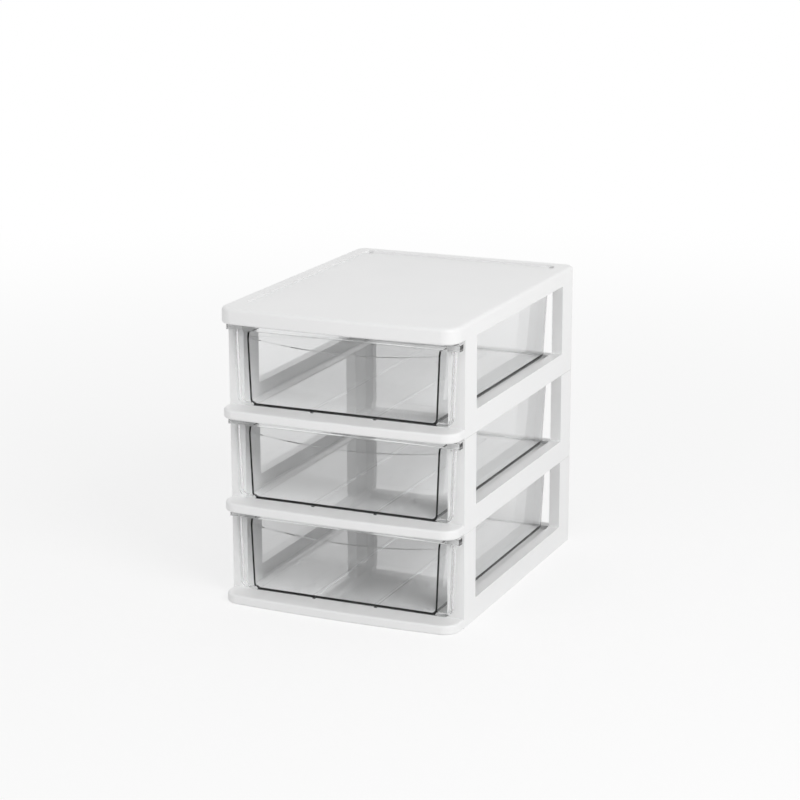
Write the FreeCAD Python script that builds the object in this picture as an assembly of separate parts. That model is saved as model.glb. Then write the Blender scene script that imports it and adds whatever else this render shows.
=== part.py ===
"""Three-tier desk-top drawer organizer.

Three stacked frame mouldings carry three sliding drawers. Millimetres, +Z up, the front
faces -Y, and the origin is at the centre of the footprint on the surface it stands on.
"""

import FreeCAD, Part
import math
import os

Vector = FreeCAD.Vector

# ---------------------------------------------------------------- driving dimensions
TIER_NAMES = ("bottom", "middle", "top")
OVERALL_WIDTH = 155.0
OVERALL_DEPTH = 210.0
TIER_PITCH = 59.0
COVER_HEIGHT = 10.0

# Plan outline of every shelf and of the cover
FRONT_BOW = 2.9
FRONT_CORNER_RADIUS = 10.3
BACK_CORNER_RADIUS = 6.5

# Frame walls
LEDGE_DEPTH = 15.3
SHELF_HEIGHT = 6.0
SILL_HEIGHT = 14.0
FRONT_POST_THICKNESS = 10.5
FRONT_POST_DEPTH = 18.3
REAR_POST_DEPTH = 24.2
SIDE_WALL = 7.0
BACK_FRAME_DEPTH = 7.0
BACK_STILE_WIDTH = 11.7
BACK_STOP_HEIGHT = 2.0
PLATE = 2.2
LIP_WALL = 2.6
RIB = 1.6
RIB_COLUMNS = 4
RIB_ROWS = 4
LIP_EDGE_ROUND = 1.4
COVER_EDGE_ROUND = 2.4
WINDOW_CORNER = 1.2
SEAM_RELIEF = 0.35

# Cover panel, sunk inside a raised rim
RIM_WIDTH = 9.5
RIM_FRONT_WIDTH = 18.0
PANEL_SINK = 1.2
PANEL_CORNER_RADIUS = 6.0
NOTCH_WIDTH = 2.8
NOTCH_LENGTH = 3.2
NOTCH_DEPTH = 3.0
NOTCH_INSET = 2.4

# Stacking pegs on the posts and their sockets in the tier above
PEG_WIDTH = 3.4
PEG_LENGTH = 11.0
PEG_HEIGHT = 4.0
PEG_CHAMFER = 0.8
SOCKET_CLEARANCE = 0.25

# Drawer
FRONT_STANDOFF = 0.3
FRONT_DEPTH = 4.3
FRONT_SKIN = 2.0
SKIRT_WALL = 1.7
FRONT_OVERLAP_TOP = 5.7
FRONT_OVERLAP_BOTTOM = 3.8
FRONT_CORNER = 5.5
FRONT_EDGE_ROUND = 1.5
DRAWER_LIFT = 1.0
DRAWER_TOP_GAP = 1.7
FLANGE_HEIGHT = 3.8
FLANGE_PROUD = 1.2
FLANGE_EDGE_ROUND = 0.8
FLANGE_SIDE_INSET = 1.2
SCOOP_SAG = 6.0
SCOOP_MIDDLE_HEIGHT = 9.0
SCOOP_END_INSET = 2.5
SCOOP_SLOPE_DEG = 18.0
TRAY_WALL = 1.2
TRAY_FLOOR = 1.7
TRAY_SIDE_GAP = 3.7
TRAY_DRAFT = 1.8
TRAY_BACK_GAP = 1.6
TRAY_TOP_GAP = 7.0
TRAY_CORNER_RADIUS = 6.0
TRAY_FOOT_RADIUS = 4.0
RUNNER_SPACING = 41.4
RUNNER_WIDTH = 1.8
RUNNER_REAR_GAP = 9.0
RUNNER_CLEARANCE = 0.3

# ---------------------------------------------------------------- derived planes
HALF_WIDTH = OVERALL_WIDTH / 2
BACK_Y = OVERALL_DEPTH / 2
FRONT_Y = -OVERALL_DEPTH / 2
CORNER_Y = FRONT_Y + FRONT_BOW
POST_Y = CORNER_Y + LEDGE_DEPTH
WINDOW_FRONT_Y = POST_Y + FRONT_POST_DEPTH
WINDOW_BACK_Y = BACK_Y - REAR_POST_DEPTH
BACK_INNER_Y = BACK_Y - BACK_FRAME_DEPTH
POST_INNER_X = HALF_WIDTH - FRONT_POST_THICKNESS
SIDE_INNER_X = HALF_WIDTH - SIDE_WALL
BACK_OPENING_X = HALF_WIDTH - BACK_STILE_WIDTH
PANEL_BACK_Y = POST_Y - FRONT_STANDOFF
PANEL_FRONT_Y = PANEL_BACK_Y - FRONT_DEPTH
SKIN_BACK_Y = PANEL_FRONT_Y + FRONT_SKIN
TRAY_FRONT_Y = PANEL_FRONT_Y + FRONT_EDGE_ROUND
OVERRUN = 5.0


def box(low, high):
    """Box between two opposite corners."""
    size = Vector(*high) - Vector(*low)
    return Part.makeBox(size.x, size.y, size.z, Vector(*low))


def rounded_box(low, high, radius, axis):
    """Box whose four edges along one axis (0, 1 or 2) are rounded."""
    solid = box(low, high)
    edges = [edge for edge in solid.Edges if abs(edge.tangentAt(edge.FirstParameter)[axis]) > 0.9]
    return solid.makeFillet(radius, edges)


def mirrored_pair(solid):
    """A solid and its mirror image across the plane X = 0."""
    return [solid, solid.mirror(Vector(0, 0, 0), Vector(1, 0, 0))]


def plan_slab(low_z, high_z):
    """Prism on the plan outline: bowed front, large front corners, small back corners."""
    corners = [
        Vector(HALF_WIDTH, CORNER_Y, low_z),
        Vector(HALF_WIDTH, BACK_Y, low_z),
        Vector(-HALF_WIDTH, BACK_Y, low_z),
        Vector(-HALF_WIDTH, CORNER_Y, low_z),
    ]
    edges = [Part.LineSegment(a, b).toShape() for a, b in zip(corners, corners[1:])]
    edges.append(Part.Arc(corners[3], Vector(0, FRONT_Y, low_z), corners[0]).toShape())
    slab = Part.Face(Part.Wire(edges)).extrude(Vector(0, 0, high_z - low_z))
    upright = [edge for edge in slab.Edges if abs(edge.tangentAt(edge.FirstParameter).z) > 0.9]
    front = [edge for edge in upright if edge.CenterOfMass.y < 0]
    slab = slab.makeFillet(FRONT_CORNER_RADIUS, front)
    back_y = BACK_Y - 0.01
    back = [edge for edge in slab.Edges
            if edge.CenterOfMass.y > back_y and abs(edge.tangentAt(edge.FirstParameter).z) > 0.9]
    return slab.makeFillet(BACK_CORNER_RADIUS, back)


def front_lip(low_z, high_z, top_round, bottom_round):
    """The part of a shelf or cover in front of the posts, with its outer edges rounded."""
    ahead = box((-OVERALL_WIDTH, 2 * FRONT_Y, low_z - OVERRUN), (OVERALL_WIDTH, POST_Y, high_z + OVERRUN))
    lip = plan_slab(low_z, high_z).common(ahead)
    for level, radius in ((high_z, top_round), (low_z, bottom_round)):
        rim = [edge for edge in lip.Edges
               if abs(edge.CenterOfMass.z - level) < 0.01 and edge.CenterOfMass.y < POST_Y - 0.1]
        lip = lip.makeFillet(radius, rim)
    return lip


def underside_pockets(low_z, depth, columns, rows):
    """Hollows under a shelf or the cover, in a grid divided by ribs."""
    half_x = POST_INNER_X - RIB
    low_y = CORNER_Y + LIP_WALL
    high_y = BACK_INNER_Y - LIP_WALL
    pitch_x = (2 * half_x + RIB) / columns
    pitch_y = (high_y - low_y + RIB) / rows
    pockets = []
    for column in range(columns):
        for row in range(rows):
            x = -half_x + column * pitch_x
            y = low_y + row * pitch_y
            pockets.append(box((x, y, low_z - OVERRUN), (x + pitch_x - RIB, y + pitch_y - RIB, low_z + depth)))
    return pockets


def peg_places():
    """Centre and half sizes in plan of the four stacking pegs."""
    front_x = HALF_WIDTH - FRONT_POST_THICKNESS / 2
    rear_x = HALF_WIDTH - SIDE_WALL / 2
    front_y = POST_Y + FRONT_POST_DEPTH / 2
    rear_y = BACK_Y - REAR_POST_DEPTH / 2
    return [(side * x, y) for x, y in ((front_x, front_y), (rear_x, rear_y)) for side in (-1, 1)]


def pegs(base_z):
    """Tapered tenons on top of the posts of a lower tier."""
    solids = []
    for x, y in peg_places():
        peg = box((x - PEG_WIDTH / 2, y - PEG_LENGTH / 2, base_z - RIB),
                  (x + PEG_WIDTH / 2, y + PEG_LENGTH / 2, base_z + PEG_HEIGHT))
        tip = [edge for edge in peg.Edges if abs(edge.CenterOfMass.z - base_z - PEG_HEIGHT) < 0.01]
        solids.append(peg.makeChamfer(PEG_CHAMFER, tip))
    return solids


def sockets(base_z):
    """Pockets under the posts that take the pegs of the tier below."""
    half_x = PEG_WIDTH / 2 + SOCKET_CLEARANCE
    half_y = PEG_LENGTH / 2 + SOCKET_CLEARANCE
    top_z = base_z + PEG_HEIGHT + SOCKET_CLEARANCE
    return [box((x - half_x, y - half_y, base_z - OVERRUN), (x + half_x, y + half_y, top_z))
            for x, y in peg_places()]


def seam_relief(top_z):
    """Shallow ring that breaks the outer edge where the next tier sits down."""
    ring = plan_slab(top_z - SEAM_RELIEF, top_z)
    core = box((-HALF_WIDTH + SEAM_RELIEF, CORNER_Y, top_z - OVERRUN),
               (HALF_WIDTH - SEAM_RELIEF, BACK_Y - SEAM_RELIEF, top_z + OVERRUN))
    return ring.cut(core)


def tier_frame(base_z, has_cover):
    """One frame moulding: lipped shelf, sills, posts and back stiles, and the cover on the top one."""
    bay_top = base_z + TIER_PITCH
    shelf_top = base_z + SHELF_HEIGHT
    sill_top = base_z + SILL_HEIGHT
    ahead = box((-OVERALL_WIDTH, 2 * FRONT_Y, base_z - OVERRUN), (OVERALL_WIDTH, POST_Y, bay_top + OVERRUN))
    frame = plan_slab(base_z, bay_top).cut(ahead)

    cut_top = bay_top if has_cover else bay_top + OVERRUN
    frame = frame.cut([
        box((-POST_INNER_X, POST_Y - OVERRUN, shelf_top), (POST_INNER_X, BACK_INNER_Y, cut_top)),
        box((-SIDE_INNER_X, WINDOW_FRONT_Y, shelf_top), (SIDE_INNER_X, BACK_INNER_Y, cut_top)),
        rounded_box((-BACK_OPENING_X, BACK_INNER_Y - OVERRUN, shelf_top + BACK_STOP_HEIGHT),
                    (BACK_OPENING_X, BACK_Y + OVERRUN, cut_top), WINDOW_CORNER, 1),
        rounded_box((-HALF_WIDTH - OVERRUN, WINDOW_FRONT_Y, sill_top),
                    (HALF_WIDTH + OVERRUN, WINDOW_BACK_Y, cut_top), WINDOW_CORNER, 0),
    ])
    frame = frame.fuse(front_lip(base_z, shelf_top, LIP_EDGE_ROUND, LIP_EDGE_ROUND))
    if has_cover:
        frame = frame.fuse(cover(bay_top))
    else:
        frame = frame.fuse(pegs(bay_top)).cut(seam_relief(bay_top))
    hollows = underside_pockets(base_z, SHELF_HEIGHT - PLATE, RIB_COLUMNS, RIB_ROWS)
    return frame.cut(hollows + sockets(base_z)).removeSplitter()


def cover(base_z):
    """Top plate with a sunken panel inside a raised rim, hollow underneath."""
    top_z = base_z + COVER_HEIGHT
    behind = box((-OVERALL_WIDTH, POST_Y, base_z), (OVERALL_WIDTH, 2 * BACK_Y, top_z))
    rear = plan_slab(base_z, top_z).common(behind)
    crown = [edge for edge in rear.Edges
             if abs(edge.CenterOfMass.z - top_z) < 0.01 and edge.CenterOfMass.y > POST_Y + 0.1]
    rear = rear.makeFillet(COVER_EDGE_ROUND, crown)
    plate = rear.fuse(front_lip(base_z, top_z, COVER_EDGE_ROUND, LIP_EDGE_ROUND))

    panel_x = HALF_WIDTH - RIM_WIDTH
    panel_back = BACK_Y - RIM_WIDTH
    panel_floor = top_z - PANEL_SINK
    panel = rounded_box((-panel_x, CORNER_Y + RIM_FRONT_WIDTH, panel_floor),
                        (panel_x, panel_back, top_z + OVERRUN), PANEL_CORNER_RADIUS, 2)
    notch_x = panel_x - NOTCH_INSET
    notch = box((notch_x - NOTCH_WIDTH, panel_back - NOTCH_LENGTH, panel_floor - NOTCH_DEPTH),
                (notch_x, panel_back, panel_floor + OVERRUN))
    hollow = underside_pockets(base_z, COVER_HEIGHT - PANEL_SINK - PLATE, 1, 1)
    return plate.cut([panel] + mirrored_pair(notch) + hollow)


def panel_solid(base_z, inset, front_y, back_y):
    """Front panel, wider at the top, with rounded lower corners; inset from its sides and foot."""
    low = base_z + SHELF_HEIGHT + DRAWER_LIFT + inset
    high = base_z + TIER_PITCH - DRAWER_TOP_GAP
    top_x = POST_INNER_X + FRONT_OVERLAP_TOP - inset
    low_x = POST_INNER_X + FRONT_OVERLAP_BOTTOM - inset
    points = [Vector(-low_x, front_y, low), Vector(low_x, front_y, low),
              Vector(top_x, front_y, high), Vector(-top_x, front_y, high)]
    panel = Part.Face(Part.makePolygon(points + points[:1])).extrude(Vector(0, back_y - front_y, 0))
    corners = [edge for edge in panel.Edges
               if abs(edge.tangentAt(edge.FirstParameter).y) > 0.9 and edge.CenterOfMass.z < low + 0.01]
    return panel.makeFillet(FRONT_CORNER - inset, corners)


def scoop_face(base_z, y):
    """Region between the grip flange and the smile-shaped edge of the finger pull."""
    flange_low = base_z + TIER_PITCH - DRAWER_TOP_GAP - FLANGE_HEIGHT
    middle = flange_low - SCOOP_MIDDLE_HEIGHT
    end_x = POST_INNER_X + FRONT_OVERLAP_TOP - SCOOP_END_INSET
    left = Vector(-end_x, y, flange_low)
    right = Vector(end_x, y, flange_low)
    left_end = Vector(-end_x, y, middle + SCOOP_SAG)
    right_end = Vector(end_x, y, middle + SCOOP_SAG)
    edges = [
        Part.LineSegment(left, right).toShape(),
        Part.LineSegment(right, right_end).toShape(),
        Part.Arc(right_end, Vector(0, y, middle), left_end).toShape(),
        Part.LineSegment(left_end, left).toShape(),
    ]
    return Part.Face(Part.Wire(edges))


def scoop_solid(base_z, y):
    """Wedge behind plane y whose depth grows from the smile edge up to the flange."""
    flange_low = base_z + TIER_PITCH - DRAWER_TOP_GAP - FLANGE_HEIGHT
    depth = SCOOP_MIDDLE_HEIGHT * math.tan(math.radians(SCOOP_SLOPE_DEG))
    wedge = scoop_face(base_z, y).extrude(Vector(0, depth, SCOOP_MIDDLE_HEIGHT))
    below = box((-HALF_WIDTH, y - OVERRUN, base_z), (HALF_WIDTH, y + 2 * OVERRUN, flange_low))
    return wedge.common(below)


def drawer_front(base_z):
    """Front skin with a skirt turned back around it and the grip flange, and the finger pull to be scooped out."""
    low = base_z + SHELF_HEIGHT + DRAWER_LIFT
    high = base_z + TIER_PITCH - DRAWER_TOP_GAP
    panel = panel_solid(base_z, 0.0, PANEL_FRONT_Y, PANEL_BACK_Y)
    rim = [edge for edge in panel.Edges
           if abs(edge.CenterOfMass.y - PANEL_FRONT_Y) < 0.01 and edge.CenterOfMass.z < high - 0.01]
    panel = panel.makeFillet(FRONT_EDGE_ROUND, rim)
    shell = panel.cut(panel_solid(base_z, SKIRT_WALL, SKIN_BACK_Y, PANEL_BACK_Y + OVERRUN))

    flange_x = HALF_WIDTH - FLANGE_SIDE_INSET
    backing_x = POST_INNER_X - TRAY_SIDE_GAP
    flange = box((-flange_x, PANEL_FRONT_Y - FLANGE_PROUD, high - FLANGE_HEIGHT), (flange_x, PANEL_BACK_Y, high))
    nose = [edge for edge in flange.Edges if edge.CenterOfMass.y < PANEL_FRONT_Y - FLANGE_PROUD + 0.01]
    flange = flange.makeFillet(FLANGE_EDGE_ROUND, nose)
    scoop = scoop_solid(base_z, PANEL_FRONT_Y)
    free = box((-backing_x, PANEL_FRONT_Y, low), (backing_x, POST_Y + OVERRUN, high)).fuse(
        box((-flange_x, PANEL_FRONT_Y, low), (flange_x, PANEL_BACK_Y, high)))
    backing = scoop.fuse(scoop.translated(Vector(0, FRONT_SKIN, 0))).common(free)
    return shell.fuse([flange, backing]), scoop


def tray_loft(base_z, inset, front_y, floor_z, top_z, foot_radius):
    """Drafted tub with rounded rear corners and a rounded foot, inset from the tray's outside."""
    low_z = base_z + SHELF_HEIGHT + DRAWER_LIFT
    full_z = base_z + TIER_PITCH - TRAY_TOP_GAP
    radius = TRAY_CORNER_RADIUS - inset
    sections = []
    for z in (floor_z, top_z):
        growth = TRAY_DRAFT * (z - full_z) / (full_z - low_z)
        half_x = POST_INNER_X - TRAY_SIDE_GAP - inset + growth
        back_y = BACK_INNER_Y - TRAY_BACK_GAP - inset + growth
        sections.append(tub_outline(half_x, front_y, back_y, radius, z))
    tub = Part.makeLoft(sections, True, True)
    foot = [edge for edge in tub.Edges
            if abs(edge.CenterOfMass.z - floor_z) < 0.01 and edge.CenterOfMass.y > front_y + 0.1]
    return tub.makeFillet(foot_radius, foot)


def tub_outline(half_x, front_y, back_y, radius, z):
    """Plan of the tray at one height: square in front, rounded at the rear corners."""
    bend = radius * (1 - math.sqrt(0.5))
    start = [Vector(-half_x, front_y, z), Vector(half_x, front_y, z), Vector(half_x, back_y - radius, z)]
    right_mid = Vector(half_x - bend, back_y - bend, z)
    rear = [Vector(half_x - radius, back_y, z), Vector(radius - half_x, back_y, z)]
    left_mid = Vector(bend - half_x, back_y - bend, z)
    left = Vector(-half_x, back_y - radius, z)
    return Part.Wire([
        Part.LineSegment(start[0], start[1]).toShape(),
        Part.LineSegment(start[1], start[2]).toShape(),
        Part.Arc(start[2], right_mid, rear[0]).toShape(),
        Part.LineSegment(rear[0], rear[1]).toShape(),
        Part.Arc(rear[1], left_mid, left).toShape(),
        Part.LineSegment(left, start[0]).toShape(),
    ])


def runners(base_z):
    """Two ribs under the tray floor that slide on the shelf."""
    shelf_top = base_z + SHELF_HEIGHT
    back_y = BACK_INNER_Y - TRAY_BACK_GAP - RUNNER_REAR_GAP
    low_x = RUNNER_SPACING / 2 - RUNNER_WIDTH / 2
    rib = box((low_x, TRAY_FRONT_Y, shelf_top + RUNNER_CLEARANCE),
              (low_x + RUNNER_WIDTH, back_y, shelf_top + DRAWER_LIFT + TRAY_FLOOR / 2))
    return mirrored_pair(rib)


def drawer(base_z):
    """One drawer moulding: front, tray and runners."""
    low_z = base_z + SHELF_HEIGHT + DRAWER_LIFT
    full_z = base_z + TIER_PITCH - TRAY_TOP_GAP
    outside = tray_loft(base_z, 0.0, TRAY_FRONT_Y, low_z, full_z, TRAY_FOOT_RADIUS)
    inside = tray_loft(base_z, TRAY_WALL, SKIN_BACK_Y, low_z + TRAY_FLOOR, full_z + OVERRUN,
                       TRAY_FOOT_RADIUS - TRAY_WALL)
    tray = outside.cut(inside)
    front, scoop = drawer_front(base_z)
    return tray.fuse([front] + runners(base_z)).cut(scoop).removeSplitter()


def main():
    """Write one STEP file for each moulding."""
    os.makedirs("parts", exist_ok=True)
    for tier, name in enumerate(TIER_NAMES):
        base_z = tier * TIER_PITCH
        has_cover = name == TIER_NAMES[-1]
        tier_frame(base_z, has_cover).exportStep("parts/%s_frame.step" % name)
        drawer(base_z).exportStep("parts/%s_drawer.step" % name)


main()
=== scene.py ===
"""Dresses the three-tier drawer organizer: white frame mouldings, clear drawers and a studio."""

import logging
import math
from dataclasses import dataclass
from enum import Enum

import bmesh
import bpy
from mathutils import Matrix, Vector


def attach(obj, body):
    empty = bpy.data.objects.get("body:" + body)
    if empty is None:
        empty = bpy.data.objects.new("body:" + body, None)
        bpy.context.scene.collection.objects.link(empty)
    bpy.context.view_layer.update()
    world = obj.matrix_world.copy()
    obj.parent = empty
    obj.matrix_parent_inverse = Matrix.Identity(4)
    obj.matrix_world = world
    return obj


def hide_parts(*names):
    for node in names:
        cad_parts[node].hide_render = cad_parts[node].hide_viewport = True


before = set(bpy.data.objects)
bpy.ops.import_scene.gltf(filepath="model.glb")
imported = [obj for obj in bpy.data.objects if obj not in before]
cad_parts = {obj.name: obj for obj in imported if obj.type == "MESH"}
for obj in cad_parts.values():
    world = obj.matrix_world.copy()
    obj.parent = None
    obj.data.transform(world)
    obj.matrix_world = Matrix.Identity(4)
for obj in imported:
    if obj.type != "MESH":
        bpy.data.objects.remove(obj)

LOG = logging.getLogger("organizer")
MM = 0.001

Colour = tuple[float, float, float, float]
Point = tuple[float, float, float]

# Numbers of a Mix node's colour sockets, whose names it uses more than once.
MIX_FACTOR = 0
MIX_FIRST_COLOUR = 6
MIX_SECOND_COLOUR = 7
MIXED_COLOUR = 2


class Tier(Enum):
    """The three storeys of the organizer, from the desk up."""

    BOTTOM = "bottom"
    MIDDLE = "middle"
    TOP = "top"

    @property
    def frame_node(self) -> str:
        """Name of the solid of this tier's frame."""
        return f"{self.value}_frame"

    @property
    def drawer_node(self) -> str:
        """Name of the solid of this tier's drawer, and of the body that slides."""
        return f"{self.value}_drawer"


class Slot(Enum):
    """Material slots of the record."""

    FRAME = "frame_white"
    DRAWER = "drawer_smoke"


# ------------------------------------------------------------------ shader writing
@dataclass
class Signal:
    """A value that travels through a shader; a number is written with ordinary arithmetic."""

    graph: "Graph"
    socket: bpy.types.NodeSocket | None

    def _join(self, operation: str, left: object, right: object) -> "Signal":
        """Result of a Math node on two numbers or signals."""
        return self.graph.node("ShaderNodeMath", {"operation": operation}, {0: left, 1: right})

    def __add__(self, other: object) -> "Signal":
        """Sum."""
        return self._join("ADD", self, other)

    def __radd__(self, other: object) -> "Signal":
        """Sum with the number first."""
        return self._join("ADD", other, self)

    def __sub__(self, other: object) -> "Signal":
        """Difference."""
        return self._join("SUBTRACT", self, other)

    def __rsub__(self, other: object) -> "Signal":
        """Difference with the number first."""
        return self._join("SUBTRACT", other, self)

    def __mul__(self, other: object) -> "Signal":
        """Product."""
        return self._join("MULTIPLY", self, other)

    def __rmul__(self, other: object) -> "Signal":
        """Product with the number first."""
        return self._join("MULTIPLY", other, self)

    def maximum(self, other: object) -> "Signal":
        """Larger of two signals."""
        return self._join("MAXIMUM", self, other)


class Graph:
    """Node tree of one material or of the world."""

    def __init__(self, owner: bpy.types.ID) -> None:
        """Start an empty tree.

        Args:
            owner: the material or world that gets the tree.
        """
        owner.use_nodes = True
        self.tree = owner.node_tree
        self.tree.nodes.clear()

    def node(self, kind: str, settings: dict[str, object], values: dict[object, object],
             output: object = 0) -> Signal:
        """Add any node: its type, its settings first, then its inputs.

        Args:
            kind: the node's type name.
            settings: attributes set before the inputs.
            values: input name or number to a value or a signal.
            output: name or number of the output to return.

        Returns:
            The chosen output.
        """
        made = self.tree.nodes.new(kind)
        for name, value in settings.items():
            setattr(made, name, value)
        for key, value in values.items():
            if isinstance(value, Signal):
                self.tree.links.new(value.socket, made.inputs[key])
            else:
                made.inputs[key].default_value = value
        return Signal(self, made.outputs[output] if made.outputs else None)

    def object_point(self) -> Signal:
        """Position on the piece, in its own coordinates."""
        return self.node("ShaderNodeTexCoord", {}, {}, "Object")

    def noise(self, size: float, detail: float = 1.0) -> Signal:
        """Noise through the whole piece, about 0.5, with patches of a size in metres."""
        return self.node("ShaderNodeTexNoise", {}, {
            "Vector": self.object_point(), "Scale": 1 / size, "Detail": detail})

    def blend(self, factor: object, first: Colour, second: Colour) -> Signal:
        """Colour between two colours, by the share of the second."""
        return self.node("ShaderNodeMix", {"data_type": "RGBA"}, {
            MIX_FACTOR: factor, MIX_FIRST_COLOUR: first, MIX_SECOND_COLOUR: second}, MIXED_COLOUR)

    def bump(self, height: Signal, depth: float, normal: Signal | None = None) -> Signal:
        """Relief from a height signal.

        Args:
            height: the relief, 0 to 1.
            depth: its full depth in metres.
            normal: relief underneath, if any.

        Returns:
            The new normal.
        """
        values: dict[object, object] = {"Height": height, "Distance": depth, "Strength": 1.0}
        if normal is not None:
            values["Normal"] = normal
        return self.node("ShaderNodeBump", {}, values)

    def rise(self, signal: Signal, start: float, end: float, low: float) -> Signal:
        """Soft rise from a low level to 1, while the signal goes from start to end."""
        return self.node("ShaderNodeMapRange", {"interpolation_type": "SMOOTHSTEP"}, {
            "Value": signal, "From Min": start, "From Max": end, "To Min": low, "To Max": 1.0})

    def ray(self, kind: str) -> Signal:
        """1 for one kind of ray, by its name on the Light Path node, else 0."""
        return self.node("ShaderNodeLightPath", {}, {}, kind)

    def seen_in_gloss(self) -> Signal:
        """1 for rays off a gloss or through clear plastic, else 0."""
        return self.ray("Is Glossy Ray").maximum(self.ray("Is Transmission Ray"))

    def either(self, factor: object, first: Signal, second: Signal) -> Signal:
        """Shader between two shaders, by the share of the second."""
        return self.node("ShaderNodeMixShader", {}, {0: factor, 1: first, 2: second})

    def surface(self, shader: Signal, inside: Signal | None = None) -> None:
        """Send a shader to the material's surface, and one to its inside if there is one."""
        shaders = {"Surface": shader} if inside is None else {"Surface": shader, "Volume": inside}
        self.node("ShaderNodeOutputMaterial", {}, shaders)


# ------------------------------------------------------------------ finishes
@dataclass(frozen=True)
class WhiteMoulding:
    """Opaque white plastic, satin from the mould, with faint flow clouds and a fine grain."""

    name: str = "white_moulding"
    colour: Colour = (0.87, 0.87, 0.869, 1.0)
    cloud: Colour = (0.85, 0.851, 0.852, 1.0)
    cloud_size: float = 0.045
    cloud_detail: float = 3.0
    grain_size: float = 0.0006
    grain_depth: float = 0.000004
    wave_size: float = 0.03
    wave_depth: float = 0.00002
    roughness: float = 0.36
    roughness_spread: float = 0.1
    index: float = 1.49

    def material(self) -> bpy.types.Material:
        """Mix the finish.

        Returns:
            The material.
        """
        made = bpy.data.materials.new(self.name)
        graph = Graph(made)
        clouds = graph.noise(self.cloud_size, self.cloud_detail)
        waves = graph.bump(graph.noise(self.wave_size), self.wave_depth)
        shader = graph.node("ShaderNodeBsdfPrincipled", {}, {
            "Base Color": graph.blend(clouds, self.colour, self.cloud),
            "Roughness": self.roughness + (clouds - 0.5) * self.roughness_spread,
            "IOR": self.index,
            "Normal": graph.bump(graph.noise(self.grain_size), self.grain_depth, waves),
        })
        graph.surface(shader)
        return made


@dataclass(frozen=True)
class SmokeClear:
    """Clear smoke-grey plastic, glass-smooth, with the slight waviness of a moulding."""

    name: str = "smoke_clear"
    tint: Colour = (0.993, 0.995, 0.996, 1.0)
    lamp_tint: Colour = (0.996, 0.997, 0.997, 1.0)
    smoke: Colour = (0.5, 0.515, 0.52, 1.0)
    smoke_density: float = 12.0
    index: float = 1.5
    roughness: float = 0.012
    roughness_spread: float = 0.015
    smudge_size: float = 0.015
    smudge_detail: float = 2.0
    wave_size: float = 0.03
    wave_depth: float = 0.00001

    def material(self) -> bpy.types.Material:
        """Mix the finish; the light of the lamps goes straight through it.

        Returns:
            The material.
        """
        made = bpy.data.materials.new(self.name)
        graph = Graph(made)
        smudge = graph.noise(self.smudge_size, self.smudge_detail)
        clear = graph.node("ShaderNodeBsdfPrincipled", {}, {
            "Base Color": self.tint,
            "Roughness": self.roughness + smudge * self.roughness_spread,
            "IOR": self.index,
            "Transmission Weight": 1.0,
            "Normal": graph.bump(graph.noise(self.wave_size), self.wave_depth),
        })
        passing = graph.node("ShaderNodeBsdfTransparent", {}, {"Color": self.lamp_tint})
        depth = graph.node("ShaderNodeVolumeAbsorption", {}, {
            "Color": self.smoke, "Density": self.smoke_density})
        graph.surface(graph.either(graph.ray("Is Shadow Ray"), clear, passing), depth)
        return made


@dataclass(frozen=True)
class PaleFloor:
    """Pale matt floor that turns white to the camera but keeps the shadow on it."""

    name: str = "pale_floor"
    colour: Colour = (0.93, 0.93, 0.93, 1.0)
    glow: float = 1.0
    glow_share: float = 0.72
    mirrored_share: float = 0.1
    white_from: float = 0.3
    white_to: float = 1.3

    def material(self) -> bpy.types.Material:
        """Mix the finish.

        Returns:
            The material.
        """
        made = bpy.data.materials.new(self.name)
        graph = Graph(made)
        matt = graph.node("ShaderNodeBsdfDiffuse", {}, {"Color": self.colour})
        lit = graph.node("ShaderNodeEmission", {}, {"Strength": self.glow})
        away = graph.node("ShaderNodeVectorMath", {"operation": "LENGTH"}, {
            0: graph.object_point()}, "Value")
        direct = graph.rise(away, self.white_from, self.white_to, self.glow_share)
        mirrored = graph.rise(away, self.white_from, self.white_to, self.mirrored_share)
        white = (graph.ray("Is Camera Ray") * direct).maximum(graph.seen_in_gloss() * mirrored)
        graph.surface(graph.either(white, matt, lit))
        return made


# ------------------------------------------------------------------ mouldings
@dataclass
class Moulding:
    """A part cast in one shot, shaded as one skin between its hard edges."""

    tier: Tier
    crease: float
    weld: float = 0.002 * MM
    shading_weight: int = 100

    def cast(self, node: str) -> bmesh.types.BMesh:
        """Join the loose triangles of a solid into one skin.

        Args:
            node: name of the solid.

        Returns:
            The skin.
        """
        skin = bmesh.new()
        skin.from_mesh(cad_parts[node].data)
        bmesh.ops.remove_doubles(skin, verts=skin.verts, dist=self.weld)
        bmesh.ops.dissolve_degenerate(skin, edges=skin.edges, dist=self.weld)
        return skin

    def eject(self, skin: bmesh.types.BMesh, name: str) -> bpy.types.Mesh:
        """Mark the hard edges of a skin and turn it into a mesh.

        Args:
            skin: the finished skin, which is freed.
            name: name of the mesh.

        Returns:
            The mesh.
        """
        for face in skin.faces:
            face.smooth = True
        for edge in skin.edges:
            edge.smooth = edge.is_manifold and edge.calc_face_angle(math.pi) < self.crease
        made = bpy.data.meshes.new(name)
        skin.to_mesh(made)
        skin.free()
        return made

    def place(self, mesh: bpy.types.Mesh, finish: bpy.types.Material) -> bpy.types.Object:
        """Put a mesh into the scene with its finish.

        Args:
            mesh: the part's mesh.
            finish: its material.

        Returns:
            The piece.
        """
        mesh.materials.clear()
        mesh.materials.append(finish)
        piece = bpy.data.objects.new(mesh.name, mesh)
        bpy.context.scene.collection.objects.link(piece)
        shading = piece.modifiers.new("even_shading", "WEIGHTED_NORMAL")
        shading.keep_sharp = True
        shading.mode = "FACE_AREA"
        shading.weight = self.shading_weight
        LOG.info("%s: %d faces", piece.name, len(mesh.polygons))
        return piece


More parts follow.
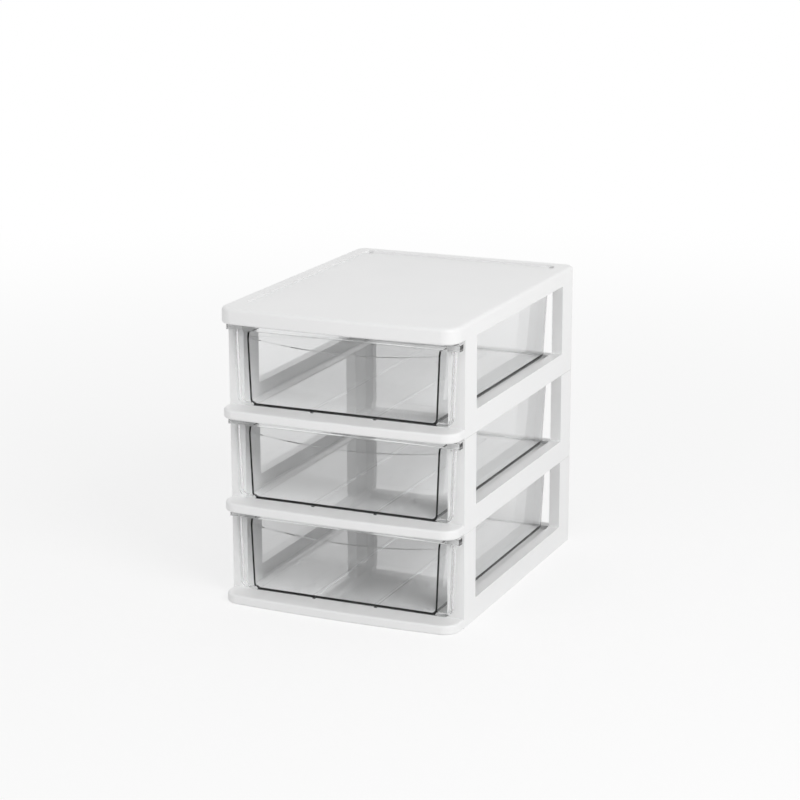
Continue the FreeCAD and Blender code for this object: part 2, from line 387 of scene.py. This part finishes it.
@dataclass
class TierFrame(Moulding):
    """White frame of one tier: shelf, sills, posts and rails, with every corner edge eased."""

    crease: float = math.radians(30.0)
    edge_round: float = 0.3 * MM
    rim_round: float = 0.8 * MM
    round_steps: int = 2
    corner: float = math.radians(40.0)
    flat: float = math.radians(0.3)

    def corners(self, skin: bmesh.types.BMesh) -> list[bmesh.types.BMEdge]:
        """Find the corner edges of a skin.

        Args:
            skin: the frame's skin.

        Returns:
            The edges that turn by more than the corner angle.
        """
        return [edge for edge in skin.edges
                if edge.is_manifold and edge.calc_face_angle(0.0) > self.corner]

    def ease(self, skin: bmesh.types.BMesh, edges: list[bmesh.types.BMEdge], radius: float) -> None:
        """Round some edges of a skin.

        Args:
            skin: the frame's skin.
            edges: the edges to round.
            radius: how far the rounding reaches from each edge.
        """
        bmesh.ops.bevel(skin, geom=edges, offset=radius, offset_type="OFFSET", affect="EDGES",
                        segments=self.round_steps, profile=0.5, material=-1,
                        clamp_overlap=True, loop_slide=True)

    def build(self) -> bpy.types.Mesh:
        """Cast the frame, round the rim of the cover's sunk panel and ease the other corners.

        Returns:
            The frame's mesh.
        """
        skin = self.cast(self.tier.frame_node)
        bmesh.ops.dissolve_limit(skin, angle_limit=self.flat, verts=skin.verts, edges=skin.edges)
        if self.tier is Tier.TOP:
            height = max(vert.co.z for vert in skin.verts) - self.weld
            rim = [edge for edge in self.corners(skin) if min(vert.co.z for vert in edge.verts) > height]
            self.ease(skin, rim, self.rim_round)
        self.ease(skin, self.corners(skin), self.edge_round)
        return self.eject(skin, f"{self.tier.value}_tier")

    def dress(self, finish: bpy.types.Material) -> None:
        """Build the frame in its finish, as part of the standing cabinet.

        Args:
            finish: the white moulding.
        """
        piece = self.place(self.build(), finish)
        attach(piece, "cabinet")
        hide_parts(self.tier.frame_node)


@dataclass
class Drawer(Moulding):
    """Clear drawer of one tier: scooped front, grip flange, tray and runner ribs in one skin."""

    crease: float = math.radians(14.0)

    def build(self) -> bpy.types.Mesh:
        """Cast the drawer as one skin and return its mesh."""
        return self.eject(self.cast(self.tier.drawer_node), f"{self.tier.value}_tray")

    def dress(self, finish: bpy.types.Material) -> None:
        """Build the drawer in its finish, on its own slide.

        Args:
            finish: the clear plastic.
        """
        piece = self.place(self.build(), finish)
        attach(piece, self.tier.drawer_node)
        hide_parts(self.tier.drawer_node)


# ------------------------------------------------------------------ studio
@dataclass(frozen=True)
class Softbox:
    """A rectangular lamp that faces a point."""

    name: str
    place: Point
    target: Point
    size: tuple[float, float]
    power: float

    def build(self) -> None:
        """Hang the lamp."""
        lamp = bpy.data.lights.new(self.name, "AREA")
        lamp.shape = "RECTANGLE"
        lamp.size, lamp.size_y = self.size
        lamp.energy = self.power
        holder = bpy.data.objects.new(self.name, lamp)
        holder.location = self.place
        aim = Vector(self.target) - Vector(self.place)
        holder.rotation_euler = aim.to_track_quat("-Z", "Y").to_euler()
        bpy.context.scene.collection.objects.link(holder)


@dataclass
class Studio:
    """Floor, sky, lamps and camera.

    The sky is white to the eye and through clear plastic, and a plain soft light to the rest.
    A gloss mirrors a room that is white behind the object and darker in front of it.
    """

    sky: float = 0.62
    room: float = 0.25
    room_from: float = -0.3
    room_to: float = 0.5
    bounces: int = 32
    floor_size: float = 14.0
    place: Point = (0.55742, -1.27875, 0.48043)
    yaw_deg: float = 23.628
    pitch_deg: float = 14.762
    roll_deg: float = 0.104
    lens: float = 102.435
    sensor_width: float = 36.0
    lamps: tuple[Softbox, ...] = (
        Softbox("right_softbox", place=(1.4, -0.8, 1.2), target=(0.0, 0.0, 0.09),
                size=(0.9, 0.8), power=14.7),
        Softbox("front_softbox", place=(-0.5, -1.8, 1.3), target=(0.0, 0.0, 0.1),
                size=(1.4, 0.9), power=3.0),
    )

    def floor(self) -> None:
        """Lay the floor."""
        shape = bmesh.new()
        bmesh.ops.create_grid(shape, x_segments=4, y_segments=4, size=self.floor_size / 2)
        mesh = bpy.data.meshes.new("floor")
        shape.to_mesh(mesh)
        shape.free()
        mesh.materials.append(PaleFloor().material())
        made = bpy.data.objects.new("floor", mesh)
        bpy.context.scene.collection.objects.link(made)

    def backdrop(self) -> None:
        """Hang the sky round the scene."""
        world = bpy.data.worlds.new("studio_sky")
        bpy.context.scene.world = world
        graph = Graph(world)
        yaw = math.radians(self.yaw_deg)
        behind = graph.node("ShaderNodeVectorMath", {"operation": "DOT_PRODUCT"}, {
            0: graph.object_point(), 1: (-math.sin(yaw), math.cos(yaw), 0.0)}, "Value")
        room = graph.rise(behind, self.room_from, self.room_to, self.room)
        plain = self.sky + graph.ray("Is Camera Ray") * (1.0 - self.sky)
        seen = room.maximum(graph.ray("Is Transmission Ray"))
        strength = plain + graph.seen_in_gloss() * (seen - self.sky)
        light = graph.node("ShaderNodeBackground", {}, {
            "Color": (1.0, 1.0, 1.0, 1.0), "Strength": strength})
        graph.node("ShaderNodeOutputWorld", {}, {"Surface": light})

    def camera(self) -> None:
        """Stand the camera to the front right, a little above the object."""
        yaw, pitch, roll = (math.radians(v) for v in (self.yaw_deg, self.pitch_deg, self.roll_deg))
        ahead = Vector((-math.sin(yaw) * math.cos(pitch), math.cos(yaw) * math.cos(pitch),
                        -math.sin(pitch)))
        level = Vector((math.cos(yaw), math.sin(yaw), 0.0))
        down = ahead.cross(level)
        right = level * math.cos(roll) + down * math.sin(roll)
        up = level * math.sin(roll) - down * math.cos(roll)
        data = bpy.data.cameras.new("camera")
        data.lens = self.lens
        data.sensor_width = self.sensor_width
        holder = bpy.data.objects.new("camera", data)
        turn = Matrix((right, up, -ahead)).transposed().to_4x4()
        holder.matrix_world = Matrix.Translation(self.place) @ turn
        bpy.context.scene.collection.objects.link(holder)
        bpy.context.scene.camera = holder

    def build(self) -> None:
        """Set up the whole studio."""
        scene = bpy.context.scene
        scene.view_settings.view_transform = "Standard"
        scene.cycles.max_bounces = self.bounces
        scene.cycles.transmission_bounces = self.bounces
        scene.cycles.transparent_max_bounces = self.bounces
        self.backdrop()
        self.floor()
        self.camera()
        for lamp in self.lamps:
            lamp.build()


def main() -> None:
    """Build the organizer and the studio around it."""
    logging.basicConfig(level=logging.INFO, format="%(name)s: %(message)s")
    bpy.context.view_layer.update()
    white = WhiteMoulding().material()
    smoke = SmokeClear().material()
    for tier in Tier:
        TierFrame(tier).dress(white)
        Drawer(tier).dress(smoke)
    Studio().build()


if __name__ == "__main__":
    main()
